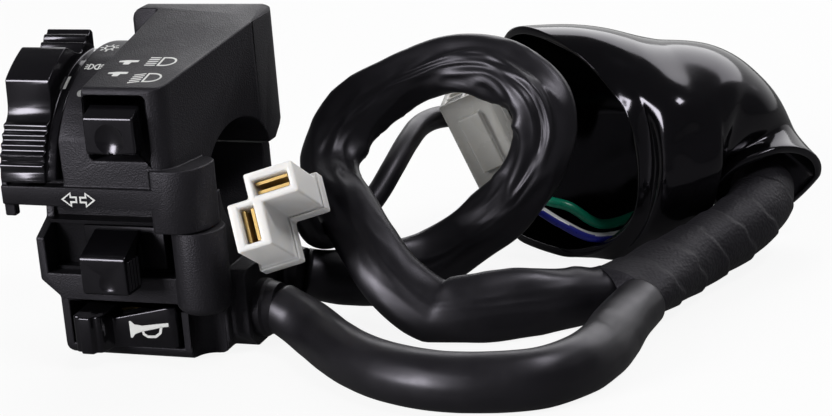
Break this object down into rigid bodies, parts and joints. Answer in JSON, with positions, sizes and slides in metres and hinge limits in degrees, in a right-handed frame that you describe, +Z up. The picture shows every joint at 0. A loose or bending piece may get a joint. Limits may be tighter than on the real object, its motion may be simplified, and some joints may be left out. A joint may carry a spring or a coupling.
{
  "type": "motorcycle handlebar switch cluster",
  "caption": "Left handlebar switch cluster in a split clamp housing, with light knob, dimmer button, turn-signal slide, horn lever, sleeved looms, boot and plugs.",
  "frame": {"origin": "on the axis of the handlebar bore, in the middle of the clamp", "axes": "+X along the bar to the inboard end, +Y away from the rider, +Z up"},
  "size_m": [0.1492, 0.1282, 0.0663],
  "materials": {
    "housing": "fine grain",
    "gloss_black": "polished",
    "steel": "plated",
    "brass": "stamped",
    "phenolic": "moulded",
    "carrier": "moulded",
    "rubber": "glossy",
    "sleeve": "soft crumpled film",
    "tape": "wrapped film",
    "white_nylon": "satin",
    "grey_nylon": "milky",
    "green_wire": "satin",
    "blue_wire": "satin"
  },
  "bodies": {
    "cluster": {"upper_housing": "housing", "lower_housing": "housing", "clamp_screws": "steel", "light_contacts": "brass", "detent_ball": "steel", "detent_spring": "steel", "dimmer_spring": "steel", "dimmer_base": "phenolic", "dimmer_contacts": "brass", "turn_base": "phenolic", "turn_contacts": "brass", "horn_pin": "steel", "horn_leaf": "brass", "horn_base": "phenolic", "horn_contact": "brass", "front_gland": "rubber", "rear_gland": "rubber", "front_sleeve": "sleeve", "rear_sleeve": "sleeve", "tape_wrap": "tape", "rubber_boot": "rubber", "plug_lead": "sleeve", "two_way_plug": "white_nylon", "two_way_blades": "brass", "multi_plug": "grey_nylon", "multi_blades": "brass", "green_wire": "green_wire", "blue_wire": "blue_wire"},
    "light_knob": {"light_knob": "gloss_black"},
    "dimmer": {"dimmer_button": "gloss_black"},
    "turn_carrier": {"turn_carrier": "carrier", "turn_shoe": "brass"},
    "turn_cap": {"turn_cap": "gloss_black"},
    "horn": {"horn_lever": "gloss_black"}
  },
  "joints": [
    {"name": "light_turn", "type": "hinge", "parent": "cluster", "child": "light_knob", "pos_m": [0, 0, 0], "axis": [-1, 0, 0], "range_deg": [0, 31]},
    {"name": "dimmer_press", "type": "slide", "parent": "cluster", "child": "dimmer", "axis": [0, 1, 0], "range_m": [0, 0.003], "stiffness_N_per_m": 400, "springref_m": -0.003, "deforming": ["dimmer_spring"]},
    {"name": "turn_slide", "type": "slide", "parent": "cluster", "child": "turn_carrier", "axis": [1, 0, 0], "range_m": [-0.004, 0.004]},
    {"name": "turn_cancel", "type": "slide", "parent": "turn_carrier", "child": "turn_cap", "axis": [0, 1, 0], "range_m": [0, 0.0015], "stiffness_N_per_m": 500, "springref_m": -0.002},
    {"name": "horn_press", "type": "hinge", "parent": "cluster", "child": "horn", "pos_m": [0.01, -0.017, -0.027], "axis": [0, 0, -1], "range_deg": [0, 6], "stiffness_Nm_per_rad": 0.2, "springref_deg": -5.73, "deforming": ["horn_leaf"]}
  ]
}
